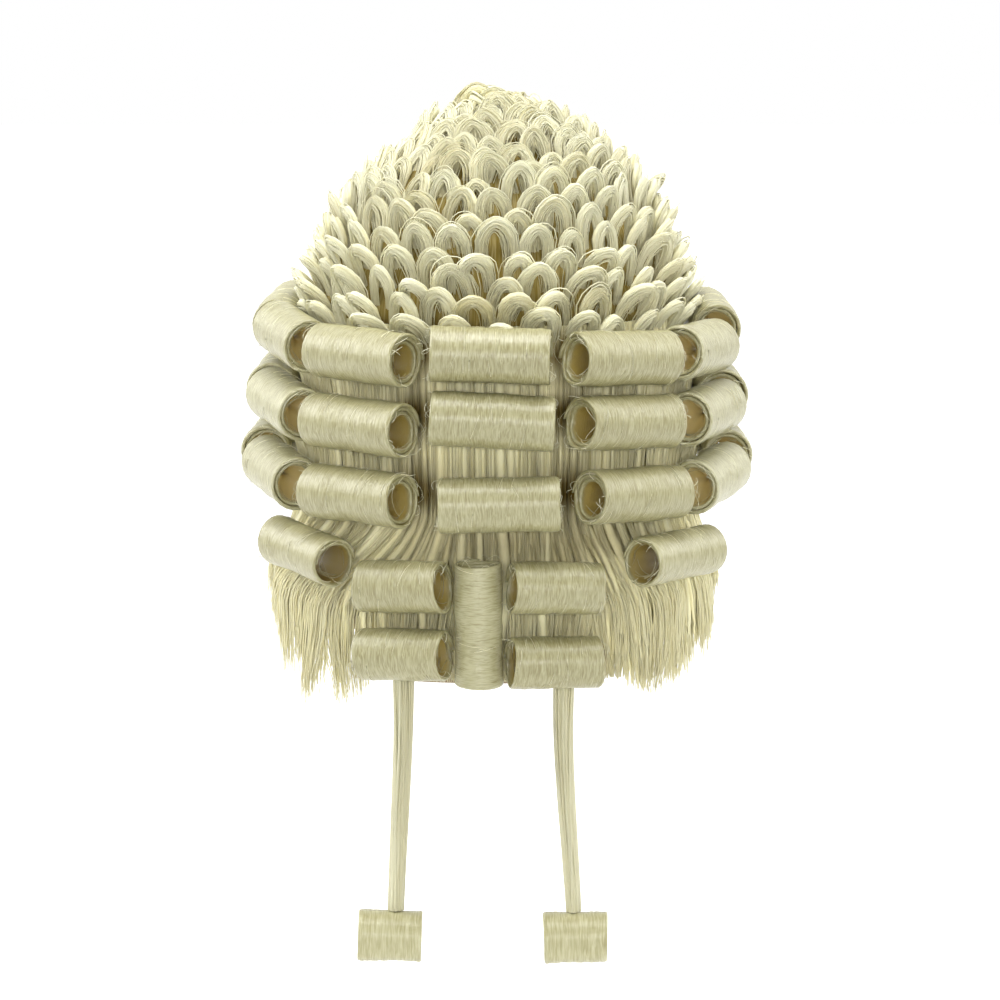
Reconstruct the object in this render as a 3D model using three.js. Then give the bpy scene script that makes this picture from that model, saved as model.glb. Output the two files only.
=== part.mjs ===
// A barrister's wig of pale horsehair: a sewn cap, a crown of looped locks, rows of
// rolled curls over straight hair, and two tails that end in small rolls.
// Millimetres, +Z up, +Y the way the wearer faces, +X the wearer's right.
// The origin is inside the top of the cap, where the top of the head bears.
import * as THREE from "three";
import { mergeVertices } from "three/addons/utils/BufferGeometryUtils.js";

// Cap: the hollow that the head fills, and the wall sewn round it
const headHalfWidth = 78;
const headHalfDepth = 98;
const domeDrop = 100;
const napeLean = 8;
const capWall = 2.5;
const seamGap = 0.3;
const capColumns = 40;
const capCrownRows = 7;
const capSkirtRows = 4;

// Edges of the cap and of the crown's hair, as drops below the top of the head,
// from the nape at azimuth 0 round to the forehead at 180
const edgeTable = [
  { azimuth: 0, rim: 240, crown: 85 },
  { azimuth: 34, rim: 240, crown: 85 },
  { azimuth: 62, rim: 206, crown: 83 },
  { azimuth: 90, rim: 172, crown: 80 },
  { azimuth: 117, rim: 166, crown: 77 },
  { azimuth: 126, rim: 98, crown: 72 },
  { azimuth: 144, rim: 61, crown: 57 },
  { azimuth: 180, rim: 57, crown: 54 },
];

// Crown: rows of looped locks, each row's loops standing over the feet of the row above
const loopRows = 14;
const loopPitch = 17.5;
const loopFoot = 2.5;
const loopStand = 13.5;
const loopValley = 0.45;
const loopReach = 1.7;
const peakLift = 5;
const edgeLift = 3;
const edgeLiftPower = 6;
const loopScallop = [0, 0.8, 1, 0.8];

// Straight hair behind the curls, in locks that end in a ragged fringe
const fringeInset = 1.5;
const fringeGap = 0.6;
const fringeTopWall = 4;
const fringeWall = 9;
const fringeFullDrop = 150;
const fringeEdge = 113;
const templeReach = 18;
const templeSweep = 3;
const fringeLocks = 36;
const fringeRows = 6;
const fringeCrowding = 1.5;
const lockGroove = 2.2;
const lockTipWall = 2.5;
const flareStartDrop = 165;
const flareFullDrop = 200;
const sideFlare = 5;
const raggedDrop = 9;
const ribDrop = 0.6;
const grooveDrop = -0.4;
const unevenDrop = 0.5;
const unevenTurns = [1.7, 0.6];
const thinningFrom = 0.75;

// The fringe's lower end, as its drop below the top of the head, and how ragged it is
const fringeTable = [
  { azimuth: 0, drop: 236, ragged: 0 },
  { azimuth: 36, drop: 236, ragged: 0 },
  { azimuth: 46, drop: 240, ragged: 1 },
  { azimuth: 75, drop: 234, ragged: 1 },
  { azimuth: 95, drop: 219, ragged: 1 },
  { azimuth: 115, drop: 200, ragged: 1 },
  { azimuth: 135, drop: 190, ragged: 1 },
];

// Curls: sheets of hair rolled into open tubes; seat is the gap to the ridges of the hair below
const curlWall = 2.6;
const curlLap = 1.2;
const curlSides = 12;
const curlLapTurn = 180;
const hollowLapTurn = 60;
const curlSizes = {
  row: { length: 52, diameter: 24, seat: 0.4 },
  side: { length: 50, diameter: 22, seat: 0.4 },
  nape: { length: 40, diameter: 23, seat: 0.4 },
  upright: { length: 54, diameter: 21, seat: -0.4 },
  tail: { length: 28, diameter: 24, seat: 0.3 },
};

// Where every curl sits on the hair, and its tilt off the level, positive with its right end up
const curlTable = [
  { name: "curl_top_centre", size: "row", azimuth: -1.5, drop: 95, tilt: -1.5 },
  { name: "curl_top_left_1", size: "row", azimuth: -35, drop: 96, tilt: -3 },
  { name: "curl_top_left_2", size: "row", azimuth: -67, drop: 91.5, tilt: -7 },
  { name: "curl_top_left_3", size: "row", azimuth: -97, drop: 86, tilt: -7 },
  { name: "curl_top_right_1", size: "row", azimuth: 32, drop: 97, tilt: -1.5 },
  { name: "curl_top_right_2", size: "row", azimuth: 64, drop: 96, tilt: 1 },
  { name: "curl_top_right_3", size: "row", azimuth: 94, drop: 88, tilt: 6 },
  { name: "curl_middle_centre", size: "row", azimuth: -1, drop: 119, tilt: -3 },
  { name: "curl_middle_left_1", size: "row", azimuth: -35, drop: 123, tilt: -3 },
  { name: "curl_middle_left_2", size: "row", azimuth: -67.5, drop: 119, tilt: -7 },
  { name: "curl_middle_left_3", size: "row", azimuth: -97.5, drop: 113, tilt: -7 },
  { name: "curl_middle_right_1", size: "row", azimuth: 32.5, drop: 121.5, tilt: -1.5 },
  { name: "curl_middle_right_2", size: "row", azimuth: 65.5, drop: 122, tilt: 3.5 },
  { name: "curl_middle_right_3", size: "row", azimuth: 95.5, drop: 116, tilt: 6 },
  { name: "curl_low_centre", size: "row", azimuth: 0.5, drop: 155, tilt: 1 },
  { name: "curl_low_left_1", size: "row", azimuth: -35, drop: 153.5, tilt: -2 },
  { name: "curl_low_left_2", size: "row", azimuth: -68.5, drop: 149.5, tilt: -7 },
  { name: "curl_low_left_3", size: "row", azimuth: -98.5, drop: 141, tilt: -8 },
  { name: "curl_low_right_1", size: "row", azimuth: 34.5, drop: 153, tilt: -0.5 },
  { name: "curl_low_right_2", size: "row", azimuth: 67, drop: 151.5, tilt: 5.5 },
  { name: "curl_low_right_3", size: "row", azimuth: 97, drop: 143, tilt: 7 },
  { name: "curl_side_left", size: "side", azimuth: -53, drop: 181, tilt: -7 },
  { name: "curl_side_right", size: "side", azimuth: 48, drop: 182, tilt: 2 },
  { name: "curl_nape_upper_left", size: "nape", azimuth: -22.8, drop: 192, tilt: 2 },
  { name: "curl_nape_upper_right", size: "nape", azimuth: 14, drop: 192, tilt: -2 },
  { name: "curl_nape_lower_left", size: "nape", azimuth: -22.8, drop: 222, tilt: 2 },
  { name: "curl_nape_lower_right", size: "nape", azimuth: 14, drop: 225, tilt: -1 },
  { name: "curl_nape_upright", size: "upright", azimuth: -4.5, drop: 208, tilt: 90 },
];

// Tails: slim locks that hang from the nape, each ending in a small roll
const tailDiameter = 8.8;
const tailSides = 10;
const tailSteps = 5;
const tailTable = [
  {
    name: "tail_left",
    roll: "tail_curl_left",
    rollTilt: -2,
    rollShift: -2.5,
    route: [
      [-41, -78.4, -237.7],
      [-41.2, -78.8, -262],
      [-42.2, -78.8, -288],
      [-43.4, -78.4, -314],
      [-44.6, -78, -340],
    ],
  },
  {
    name: "tail_right",
    roll: "tail_curl_right",
    rollTilt: 1,
    rollShift: 1,
    route: [
      [29, -81.8, -237.7],
      [28.8, -82.2, -262],
      [30, -82.2, -288],
      [31.8, -81.8, -314],
      [33.6, -81.4, -340],
    ],
  },
];

const DEGREE = Math.PI / 180;
const domeRun = (Math.PI / 2) * Math.hypot((headHalfWidth + headHalfDepth) / 2, domeDrop) * Math.SQRT1_2;

// Reads a column of a table at an azimuth, the same on the left and on the right.
function readTable(table, column, azimuth) {
  const turn = Math.abs(azimuth);
  const next = table.findIndex((row) => row.azimuth >= turn);
  if (next <= 0) return table[0][column];
  const before = table[next - 1];
  const after = table[next];
  const share = (turn - before.azimuth) / (after.azimuth - before.azimuth);
  return before[column] + (after[column] - before[column]) * share;
}

// How far down the cap's own curve, from the top, a drop below the top lies.
function runAtDrop(drop) {
  if (drop >= domeDrop) return domeRun + drop - domeDrop;
  return (domeRun * Math.acos(1 - drop / domeDrop)) / (Math.PI / 2);
}

// A smooth step from 0 to 1.
function ease(low, high, value) {
  return THREE.MathUtils.smoothstep(value, low, high);
}

// The point at an azimuth (0 at the back, positive to the wearer's right) and a run down the cap,
// at a distance out from the inside of the cap, with the direction out of it there.
function onHead(azimuth, run, out) {
  const turn = azimuth * DEGREE;
  const polar = (Math.min(run / domeRun, 1) * Math.PI) / 2;
  const below = Math.max(run - domeRun, 0);
  const lean = Math.tan(napeLean * DEGREE) * Math.max(Math.cos(turn), 0);
  const halfDepth = headHalfDepth - below * lean;
  const x = headHalfWidth * Math.sin(turn) * Math.sin(polar);
  const y = -halfDepth * Math.cos(turn) * Math.sin(polar);
  const z = -domeDrop * (1 - Math.cos(polar)) - below;
  const normal = new THREE.Vector3(x / headHalfWidth ** 2, y / halfDepth ** 2, Math.cos(polar) / domeDrop);
  if (below > 0) normal.z = -lean * Math.hypot(normal.x, normal.y);
  normal.normalize();
  return { point: new THREE.Vector3(x, y, z).addScaledVector(normal, out), normal };
}

// A list of triangles that becomes one closed body.
class Skin {
  constructor() {
    this.corners = [];
  }

  triangle(a, b, c) {
    this.corners.push(a, b, c);
  }

  quad(a, b, c, d) {
    this.triangle(a, b, c);
    this.triangle(a, c, d);
  }

  // Closes a ring onto one point; the ring runs anticlockwise seen from above.
  fan(ring, tip, inward = false) {
    ring.forEach((point, i) => {
      const next = ring[(i + 1) % ring.length];
      if (inward) this.triangle(next, point, tip);
      else this.triangle(point, next, tip);
    });
  }

  // Joins two rings of the same count, facing outward, or inward for the inside of a hollow.
  band(lower, upper, inward = false) {
    lower.forEach((point, i) => {
      const next = (i + 1) % lower.length;
      if (inward) this.quad(upper[i], upper[next], lower[next], point);
      else this.quad(upper[i], point, lower[next], upper[next]);
    });
  }

  // Joins two rings of different counts, each of points with their azimuths in rising order.
  zip(lower, upper) {
    const turnOf = (ring, i) => ring[i % ring.length].azimuth + 360 * Math.floor(i / ring.length);
    const pointOf = (ring, i) => ring[i % ring.length].point;
    let a = 0;
    let b = 0;
    while (a < lower.length || b < upper.length) {
      const lowerFirst = a < lower.length && turnOf(lower, a + 1) <= turnOf(upper, b + 1);
      if (lowerFirst || b >= upper.length) {
        this.triangle(pointOf(lower, a), pointOf(lower, a + 1), pointOf(upper, b));
        a += 1;
      } else {
        this.triangle(pointOf(lower, a), pointOf(upper, b + 1), pointOf(upper, b));
        b += 1;
      }
    }
  }

  geometry() {
    const loose = new THREE.BufferGeometry().setFromPoints(this.corners);
    const made = mergeVertices(loose, 1e-4);
    made.computeVertexNormals();
    return made;
  }
}

// A ring of points round the head, at a run and a distance out that may vary with the azimuth.
function ringRound(count, start, runAt, outAt) {
  return Array.from({ length: count }, (_, i) => {
    const azimuth = start + (i * 360) / count;
    const wrapped = azimuth > 180 ? azimuth - 360 : azimuth;
    return { azimuth, point: onHead(wrapped, runAt(wrapped, i), outAt(wrapped, i)).point };
  });
}

const bare = (ring) => ring.map((entry) => entry.point);
const reversed = (ring) => [...ring].reverse();

// The lower edges of the crown's hair and of the cap, as runs down the cap.
function crownRun(azimuth) {
  return runAtDrop(readTable(edgeTable, "crown", azimuth));
}

function rimRun(azimuth) {
  return runAtDrop(readTable(edgeTable, "rim", azimuth));
}

// The cap's level lines: those under the crown, then those down to its edge.
function capLevels(out) {
  const crownPart = Array.from({ length: capCrownRows }, (_, i) =>
    ringRound(capColumns, -180, (azimuth) => (crownRun(azimuth) * (i + 1)) / capCrownRows, () => out));
  const skirtPart = Array.from({ length: capSkirtRows }, (_, i) =>
    ringRound(capColumns, -180, (azimuth) => {
      const top = crownRun(azimuth);
      return top + ((rimRun(azimuth) - top) * (i + 1)) / capSkirtRows;
    }, () => out));
  return [crownPart, skirtPart].map((part) => part.map(bare));
}

function capGeometry() {
  const skin = new Skin();
  const outer = capLevels(capWall).flat();
  const inner = capLevels(0).flat();
  skin.fan(outer[0], onHead(0, 0, capWall).point);
  skin.fan(inner[0], onHead(0, 0, 0).point, true);
  for (let row = 1; row < outer.length; row += 1) {
    skin.band(outer[row], outer[row - 1]);
    skin.band(inner[row], inner[row - 1], true);
  }
  skin.band(inner.at(-1), outer.at(-1));
  return skin.geometry();
}

// The rows of loops as rings: each row has a foot on the hair's base and a scalloped tip that
// stands out over the foot of the row above.
function crownRings() {
  const base = capWall + seamGap + loopFoot;
  const rings = [];
  for (let row = 0; row < loopRows; row += 1) {
    const share = 1 - row / loopRows;
    const foot = (azimuth) => crownRun(azimuth) * share;
    const step = 1 / loopRows;
    const girth = 2 * Math.PI * Math.hypot(headHalfWidth, headHalfDepth) * Math.SQRT1_2
      * Math.sin((Math.min(foot(0) / domeRun, 1) * Math.PI) / 2);
    const loops = Math.max(5, Math.round(girth / loopPitch));
    const start = -180 + ((row % 2) * 180) / loops;
    const stand = loopStand + peakLift * (1 - share) ** 2 + edgeLift * share ** edgeLiftPower;
    const scallop = (i) => loopScallop[i % loopScallop.length];
    const reach = (i) => loopValley + (1 - loopValley) * scallop(i);
    rings.push(ringRound(loops * 2, start, foot, () => base));
    rings.push(ringRound(loops * loopScallop.length, start,
      (azimuth, i) => Math.max(crownRun(azimuth) * (share - step * loopReach * reach(i)), 0),
      (azimuth, i) => base + (stand - loopFoot) * reach(i)));
  }
  return rings;
}

function crownGeometry() {
  const skin = new Skin();
  const rings = crownRings();
  const inner = capLevels(capWall + seamGap)[0];
  for (let i = 1; i < rings.length; i += 1) skin.zip(rings[i - 1], rings[i]);
  skin.fan(bare(rings.at(-1)), onHead(0, 0, capWall + seamGap + loopStand + peakLift).point);
  skin.fan(inner[0], onHead(0, 0, capWall + seamGap).point, true);
  for (let row = 1; row < inner.length; row += 1) skin.band(inner[row], inner[row - 1], true);
  const innerEdge = ringRound(capColumns, -180, crownRun, () => capWall + seamGap);
  skin.zip(innerEdge, rings[0]);
  return skin.geometry();
}

// How far out of the cap's inside the straight hair reaches, where the curls lie on it.
function hairOut(azimuth, drop) {
  const top = readTable(edgeTable, "crown", azimuth);
  const wall = fringeTopWall + (fringeWall - fringeTopWall) * ease(top, fringeFullDrop, drop);
  const flare = sideFlare * ease(flareStartDrop, flareFullDrop, drop) * Math.sin(azimuth * DEGREE) ** 2;
  return capWall + seamGap + wall + flare;
}

// One level of the fringe: along the outside from left to right, and back along the inside.
function fringeLevel(row) {
  const columns = fringeLocks * 2;
  const share = (row / fringeRows) ** fringeCrowding;
  const edge = fringeEdge + templeReach * (1 - share) ** templeSweep;
  const azimuths = Array.from({ length: columns + 1 }, (_, i) => edge * ((2 * i) / columns - 1));
  const places = azimuths.map((azimuth, i) => {
    const onRib = i % 2 === 1;
    const ragged = readTable(fringeTable, "ragged", azimuth);
    const unevenness = unevenDrop * Math.sin(i * unevenTurns[0]) * Math.cos(i * unevenTurns[1]);
    const end = readTable(fringeTable, "drop", azimuth)
      + ragged * raggedDrop * ((onRib ? ribDrop : grooveDrop) + unevenness);
    const top = readTable(edgeTable, "crown", azimuth) + fringeInset;
    const drop = top + (end - top) * share;
    const tipShare = ragged * ease(thinningFrom, 1, share);
    const base = capWall + fringeGap;
    const envelope = hairOut(azimuth, drop) - (onRib ? 0 : lockGroove);
    const inside = base + ((envelope - base - lockTipWall) * tipShare) / 2;
    const outside = THREE.MathUtils.lerp(envelope, inside + lockTipWall, tipShare);
    return { azimuth, run: runAtDrop(drop), inside, outside };
  });
  return {
    outer: places.map((p) => onHead(p.azimuth, p.run, p.outside).point),
    inner: places.map((p) => onHead(p.azimuth, p.run, p.inside).point),
  };
}

function fringeGeometry() {
  const skin = new Skin();
  const levels = Array.from({ length: fringeRows + 1 }, (_, row) => fringeLevel(row));
  const around = levels.map((level) => [...level.outer, ...reversed(level.inner)]);
  for (let row = 1; row < around.length; row += 1) skin.band(around[row], around[row - 1]);
  const top = levels[0];
  const end = levels.at(-1);
  for (let i = 1; i < top.outer.length; i += 1) {
    skin.quad(top.outer[i - 1], top.outer[i], top.inner[i], top.inner[i - 1]);
    skin.quad(end.outer[i], end.outer[i - 1], end.inner[i - 1], end.inner[i]);
  }
  return skin.geometry();
}

// The section of a rolled sheet: both edges of the roll wind in by one lap in a full turn.
function rollOutline(radius, lap, sides, turned) {
  return Array.from({ length: sides + 1 }, (_, i) => {
    const angle = turned + (i * 2 * Math.PI) / sides;
    const reach = radius - (lap * i) / sides;
    return new THREE.Vector2(reach * Math.cos(angle), reach * Math.sin(angle));
  });
}

function rollGeometry(length, diameter) {
  const shape = new THREE.Shape(rollOutline(diameter / 2, curlLap, curlSides, curlLapTurn * DEGREE));
  const hollow = rollOutline(diameter / 2 - curlWall, curlLap, curlSides, hollowLapTurn * DEGREE);
  shape.holes.push(new THREE.Path(reversed(hollow)));
  const made = new THREE.ExtrudeGeometry(shape, { depth: length, bevelEnabled: false, steps: 1 });
  return made.translate(0, 0, -length / 2);
}

const horsehair = new THREE.MeshStandardMaterial({ color: 0xd8d3b4, roughness: 0.55, metalness: 0 });
const netting = new THREE.MeshStandardMaterial({ color: 0xb39a72, roughness: 0.9, metalness: 0 });

function meshOf(name, geometry, material) {
  const mesh = new THREE.Mesh(geometry, material);
  mesh.name = name;
  return mesh;
}

// A curl whose length runs along one direction and whose lap turns away from another.
function rollMesh(name, size, centre, along, away) {
  const across = new THREE.Vector3().crossVectors(along, away);
  const mesh = meshOf(name, rollGeometry(size.length, size.diameter), horsehair);
  mesh.quaternion.setFromRotationMatrix(new THREE.Matrix4().makeBasis(away, across, along));
  mesh.position.copy(centre);
  return mesh;
}

// Lays a curl on the hair, its length round the head and its lap against the hair.
function curlMesh(row) {
  const size = curlSizes[row.size];
  const { point, normal } = onHead(row.azimuth, runAtDrop(row.drop), hairOut(row.azimuth, row.drop));
  const along = new THREE.Vector3(-normal.y, normal.x, 0).normalize();
  along.applyAxisAngle(normal, row.tilt * DEGREE);
  point.addScaledVector(normal, size.seat + size.diameter / 2);
  return rollMesh(row.name, size, point, along, normal);
}

// A tail along its route.
function tailGeometry(route) {
  const curve = new THREE.CatmullRomCurve3(route.map((place) => new THREE.Vector3(...place)));
  const corners = Array.from({ length: tailSides }, (_, i) => {
    const turn = (i * 2 * Math.PI) / tailSides;
    return new THREE.Vector2((tailDiameter / 2) * Math.cos(turn), (tailDiameter / 2) * Math.sin(turn));
  });
  return new THREE.ExtrudeGeometry(new THREE.Shape(corners), { steps: tailSteps, extrudePath: curve });
}

// The roll at the end of a tail, hung just under it.
function tailCurlMesh(row) {
  const size = curlSizes.tail;
  const end = new THREE.Vector3(...row.route.at(-1));
  const down = new THREE.Vector3(0, 0, -1);
  const rearward = new THREE.Vector3(0, -1, 0);
  const along = new THREE.Vector3(1, 0, 0).applyAxisAngle(rearward, row.rollTilt * DEGREE);
  const away = new THREE.Vector3().crossVectors(along, rearward);
  end.addScaledVector(down, size.seat + size.diameter / 2).addScaledVector(along, row.rollShift);
  return rollMesh(row.roll, size, end, along, away);
}

const wig = new THREE.Group();
wig.name = "barrister_wig";
wig.add(meshOf("cap", capGeometry(), netting));
wig.add(meshOf("crown", crownGeometry(), horsehair));
wig.add(meshOf("hair_fringe", fringeGeometry(), horsehair));
for (const row of curlTable) wig.add(curlMesh(row));
for (const row of tailTable) {
  wig.add(meshOf(row.name, tailGeometry(row.route), horsehair));
  wig.add(tailCurlMesh(row));
}

export default wig;
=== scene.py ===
import math

import bpy
import numpy as np
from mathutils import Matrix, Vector


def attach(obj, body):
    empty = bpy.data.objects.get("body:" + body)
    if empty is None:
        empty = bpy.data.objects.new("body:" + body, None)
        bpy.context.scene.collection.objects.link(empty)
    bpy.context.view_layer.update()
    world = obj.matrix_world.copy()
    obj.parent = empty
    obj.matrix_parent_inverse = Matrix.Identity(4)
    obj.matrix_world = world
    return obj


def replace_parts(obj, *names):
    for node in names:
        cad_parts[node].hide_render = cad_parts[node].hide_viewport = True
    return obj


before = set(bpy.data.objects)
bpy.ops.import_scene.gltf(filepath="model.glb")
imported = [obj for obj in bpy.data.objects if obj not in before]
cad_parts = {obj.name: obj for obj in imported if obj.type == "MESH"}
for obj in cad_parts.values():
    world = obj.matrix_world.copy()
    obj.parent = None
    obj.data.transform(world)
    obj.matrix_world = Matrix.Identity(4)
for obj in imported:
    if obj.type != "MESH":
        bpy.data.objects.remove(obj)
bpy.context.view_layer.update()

# Cap
# The cap is a foundation of tan net cut to the shape of the head, open at the face and the neck,
# with tape sewn along its edge. Every row of hair is sewn to its outside.
MM = 0.001
HEAD_HALF_WIDTH = 78 * MM
HEAD_HALF_DEPTH = 98 * MM
DOME_DROP = 100 * MM
NAPE_LEAN = math.radians(8)
CAP_WALL = 2.5 * MM
CAP_COLUMNS = 108
CAP_ROWS = 32
CAP_ROW_SPACING = 0.9
TAPE_WIDTH = 7 * MM
TAPE_SWELL = 0.35 * MM
TAPE_ROUNDING = 0.35
NET_CELLS = 620
NET_THREAD = (0.36, 0.26, 0.14, 1)
# Painted shade: the net's holes are coloured dark, for shade seen through them.
NET_HOLE_SHADE = (0.15, 0.10, 0.05, 1)
TAPE_TAN = (0.42, 0.31, 0.17, 1)
EDGE_AZIMUTHS = (0, 34, 62, 90, 117, 126, 144, 180)
RIM_DROPS = (240, 240, 206, 172, 166, 98, 61, 57)
CROWN_DROPS = (85, 85, 83, 80, 77, 72, 57, 54)
DOME_RUN = math.pi / 2 * math.hypot((HEAD_HALF_WIDTH + HEAD_HALF_DEPTH) / 2, DOME_DROP) / math.sqrt(2)


def edge_drop(azimuth, drops):
    """How far below the top of the head an edge lies, the same on the left and the right."""
    return np.interp(np.abs(azimuth), EDGE_AZIMUTHS, drops) * MM


def run_at_drop(drop):
    """How far down the cap's own curve from its top a drop below the top lies."""
    polar = np.arccos(1 - np.minimum(drop, DOME_DROP) / DOME_DROP)
    return np.where(drop < DOME_DROP, DOME_RUN * polar / (math.pi / 2), DOME_RUN + drop - DOME_DROP)


def on_head(azimuth, run, out):
    """Points at an azimuth from the back, a run down the cap and a distance out of its inside."""
    turn, run, out = np.broadcast_arrays(np.radians(azimuth), run, out)
    polar = np.clip(run / DOME_RUN, 0, 1) * math.pi / 2
    below = np.maximum(run - DOME_RUN, 0)
    lean = math.tan(NAPE_LEAN) * np.maximum(np.cos(turn), 0)
    half_depth = HEAD_HALF_DEPTH - below * lean
    x = HEAD_HALF_WIDTH * np.sin(turn) * np.sin(polar)
    y = -half_depth * np.cos(turn) * np.sin(polar)
    z = -DOME_DROP * (1 - np.cos(polar)) - below
    normal = np.stack([x / HEAD_HALF_WIDTH**2, y / half_depth**2, np.cos(polar) / DOME_DROP], -1)
    flat = np.hypot(normal[..., 0], normal[..., 1])
    normal[..., 2] = np.where(below > 0, -lean * flat, normal[..., 2])
    normal /= np.linalg.norm(normal, axis=-1, keepdims=True)
    return np.stack([x, y, z], -1) + normal * out[..., None], normal


def add_piece(name, mesh):
    """Puts a finished mesh in the scene as a piece that moves with the wig."""
    piece = bpy.data.objects.new(name, mesh)
    bpy.context.scene.collection.objects.link(piece)
    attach(piece, "root")
    return piece


def grid_faces(rows, columns, wrap, first=0):
    """Quads over a grid of points, facing out when columns run anticlockwise and rows run down."""
    row = np.arange(rows - 1)[:, None]
    column = np.arange(columns if wrap else columns - 1)[None, :]
    beside = (column + 1) % columns
    here = row * columns + column
    across = row * columns + beside
    corners = [here, here + columns, across + columns, across]
    return (np.stack(np.broadcast_arrays(*corners), -1).reshape(-1, 4) + first).tolist()


def shell_faces(rows, columns):
    """Faces of a dome with a wall: its outside, its inside, the two tops and the lower edge."""
    count = rows * columns
    faces = grid_faces(rows, columns, True)
    faces += [face[::-1] for face in grid_faces(rows, columns, True, count)]
    for column in range(columns):
        beside = (column + 1) % columns
        low, low_beside = count - columns + column, count - columns + beside
        faces.append((2 * count, column, beside))
        faces.append((2 * count + 1, count + beside, count + column))
        faces.append((low, count + low, count + low_beside, low_beside))
    return faces


def set_column(mesh, label, values):
    """Stores one number or one vector for every point of a mesh."""
    values = np.ascontiguousarray(values, dtype=np.float32)
    if values.shape[-1] == 3 and values.ndim > 1:
        mesh.attributes.new(label, "FLOAT_VECTOR", "POINT").data.foreach_set("vector", values.ravel())
    else:
        mesh.attributes.new(label, "FLOAT", "POINT").data.foreach_set("value", values.ravel())


def cap_mesh():
    """The cap's wall between two grids of points, thicker along its edge, where the tape is."""
    azimuth = np.linspace(-180, 180, CAP_COLUMNS, endpoint=False)[None, :]
    share = np.linspace(0, 1, CAP_ROWS)[1:, None] ** CAP_ROW_SPACING
    rim = run_at_drop(edge_drop(azimuth, RIM_DROPS))
    run = rim * share
    tape = np.clip(1 - (rim - run) / TAPE_WIDTH, 0, 1) ** TAPE_ROUNDING * (rim - run < TAPE_WIDTH)
    outer, _ = on_head(azimuth, run, CAP_WALL + TAPE_SWELL * tape)
    inner, _ = on_head(azimuth, run, -TAPE_SWELL * tape)
    top = [(0, 0, CAP_WALL), (0, 0, 0)]
    points = np.concatenate([outer.reshape(-1, 3), inner.reshape(-1, 3), top])
    mesh = bpy.data.meshes.new("cap_net")
    mesh.from_pydata(points.tolist(), [], shell_faces(CAP_ROWS - 1, CAP_COLUMNS))
    mesh.shade_smooth()
    set_column(mesh, "taped", np.concatenate([tape.ravel(), tape.ravel(), [0, 0]]))
    return mesh


def net_finish():
    """Tan net in fine hexagons with painted shade in its holes, and a closer and paler tape along the
    edge.
    """
    material = bpy.data.materials.new("cap_net")
    material.use_nodes = True
    nodes, links = material.node_tree.nodes, material.node_tree.links
    shader = nodes["Principled BSDF"]
    shader.inputs["Roughness"].default_value = 0.9
    shader.inputs["Sheen Weight"].default_value = 0.25
    place = nodes.new("ShaderNodeTexCoord")
    cells = nodes.new("ShaderNodeTexVoronoi")
    cells.feature = "DISTANCE_TO_EDGE"
    cells.inputs["Scale"].default_value = NET_CELLS
    links.new(place.outputs["Object"], cells.inputs["Vector"])
    threads = nodes.new("ShaderNodeMapRange")
    threads.inputs["From Max"].default_value = 0.22
    links.new(cells.outputs["Distance"], threads.inputs["Value"])
    taped = nodes.new("ShaderNodeAttribute")
    taped.attribute_name = "taped"
    weave = nodes.new("ShaderNodeMix")
    weave.data_type = "RGBA"
    weave.inputs["A"].default_value = NET_THREAD
    weave.inputs["B"].default_value = NET_HOLE_SHADE
    links.new(threads.outputs["Result"], weave.inputs["Factor"])
    colour = nodes.new("ShaderNodeMix")
    colour.data_type = "RGBA"
    colour.inputs["B"].default_value = TAPE_TAN
    links.new(taped.outputs["Fac"], colour.inputs["Factor"])
    links.new(weave.outputs["Result"], colour.inputs["A"])
    links.new(colour.outputs["Result"], shader.inputs["Base Color"])
    raised = nodes.new("ShaderNodeBump")
    raised.invert = True
    raised.inputs["Strength"].default_value = 0.6
    raised.inputs["Distance"].default_value = 0.4 * MM
    links.new(threads.outputs["Result"], raised.inputs["Height"])
    links.new(raised.outputs["Normal"], shader.inputs["Normal"])
    return material


cap = add_piece("cap_net", cap_mesh())
cap.data.materials.append(net_finish())
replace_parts(cap, "cap")

# Straight hair
# Below the crown the cap is covered with straight horsehair, sewn on in rows and hanging in flat
# locks behind the curls. It is left uncut, so its lower end is a ragged fringe.
FRINGE_GAP = 0.6 * MM
FRINGE_INSET = 1.5 * MM
FRINGE_TOP_WALL = 4 * MM
FRINGE_WALL = 9 * MM
FRINGE_FULL_DROP = 150 * MM
FLARE_DROPS = (165 * MM, 200 * MM)
SIDE_FLARE = 8 * MM
FRINGE_AZIMUTHS = (-135, -115, -88, -75, -65, -53, -44, -36, 36, 45, 57, 70, 85, 115, 135)
FRINGE_DROPS = (188, 194, 205, 214, 230, 238, 240, 237, 236, 239, 234, 226, 208, 194, 188)
RAGGED_AZIMUTHS = (34, 44)
LINE_UNIT = 10 * MM


def smooth_step(low, high, value):
    """Rises from 0 to 1 between two values, with no corner at either."""
    share = np.clip((value - low) / (high - low), 0, 1)
    return share * share * (3 - 2 * share)


def hair_out(azimuth, drop):
    """How far out of the cap's inside the straight hair reaches."""
    top = edge_drop(azimuth, CROWN_DROPS)
    wall = FRINGE_TOP_WALL + (FRINGE_WALL - FRINGE_TOP_WALL) * smooth_step(top, FRINGE_FULL_DROP, drop)
    flare = SIDE_FLARE * smooth_step(*FLARE_DROPS, drop) * np.sin(np.radians(azimuth)) ** 2
    return CAP_WALL + FRINGE_GAP / 2 + wall + flare


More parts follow.
